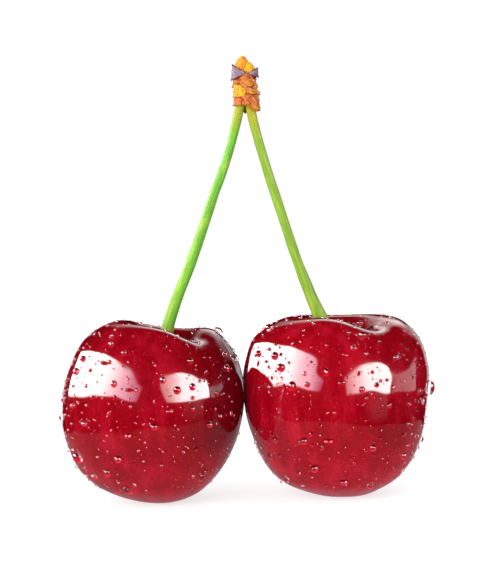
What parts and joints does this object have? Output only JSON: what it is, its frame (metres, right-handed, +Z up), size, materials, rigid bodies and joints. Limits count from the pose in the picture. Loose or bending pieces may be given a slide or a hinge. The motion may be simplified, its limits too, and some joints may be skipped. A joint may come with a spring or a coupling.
{
  "type": "cherries on stalks",
  "caption": "Ripe red sweet cherries joined by green stalks at a scaly fruiting spur, wet with water drops, standing on their fruits; table-top fruit.",
  "frame": {"origin": "middle of the base, on the surface that the fruits stand on", "axes": "+Z up from the surface to the bud on the spur; +X from the left fruit to the right fruit; +Y away from the side that is looked at"},
  "size_m": [0.0526, 0.0276, 0.0635],
  "materials": {
    "cherry_skin": "glossy deep crimson skin with fine pale specks, wet",
    "stalk_green": "fresh green stalk, fine lengthwise streaks, satin",
    "stalk_yellow_green": "yellow-green stalk, fine lengthwise streaks, satin",
    "spur_bark": "rough brown bark",
    "bud_orange": "papery orange bud scales, satin",
    "scale_orange": "crumpled orange-brown scale, matt",
    "scale_ochre": "granular ochre-yellow scale, matt",
    "scale_violet": "violet-grey outer scale with dark red edges, matt",
    "water": "clear water drops on the fruits"
  },
  "bodies": {
    "root": {"left_cherry": "cherry_skin", "right_cherry": "cherry_skin", "left_stalk": "stalk_green", "right_stalk": "stalk_yellow_green", "spur_core": "spur_bark", "bud": "bud_orange", "left_collar_scale": "scale_violet", "right_collar_scale": "scale_violet", "front_upper_scale": "scale_orange", "right_upper_scale": "scale_orange", "left_upper_scale": "scale_orange", "left_middle_scale": "scale_ochre", "right_middle_scale": "scale_ochre", "back_middle_scale": "scale_orange", "left_lower_scale": "scale_orange", "front_lower_scale": "scale_orange", "right_lower_scale": "scale_orange", "back_lower_scale": "scale_orange"}
  },
  "joints": []
}
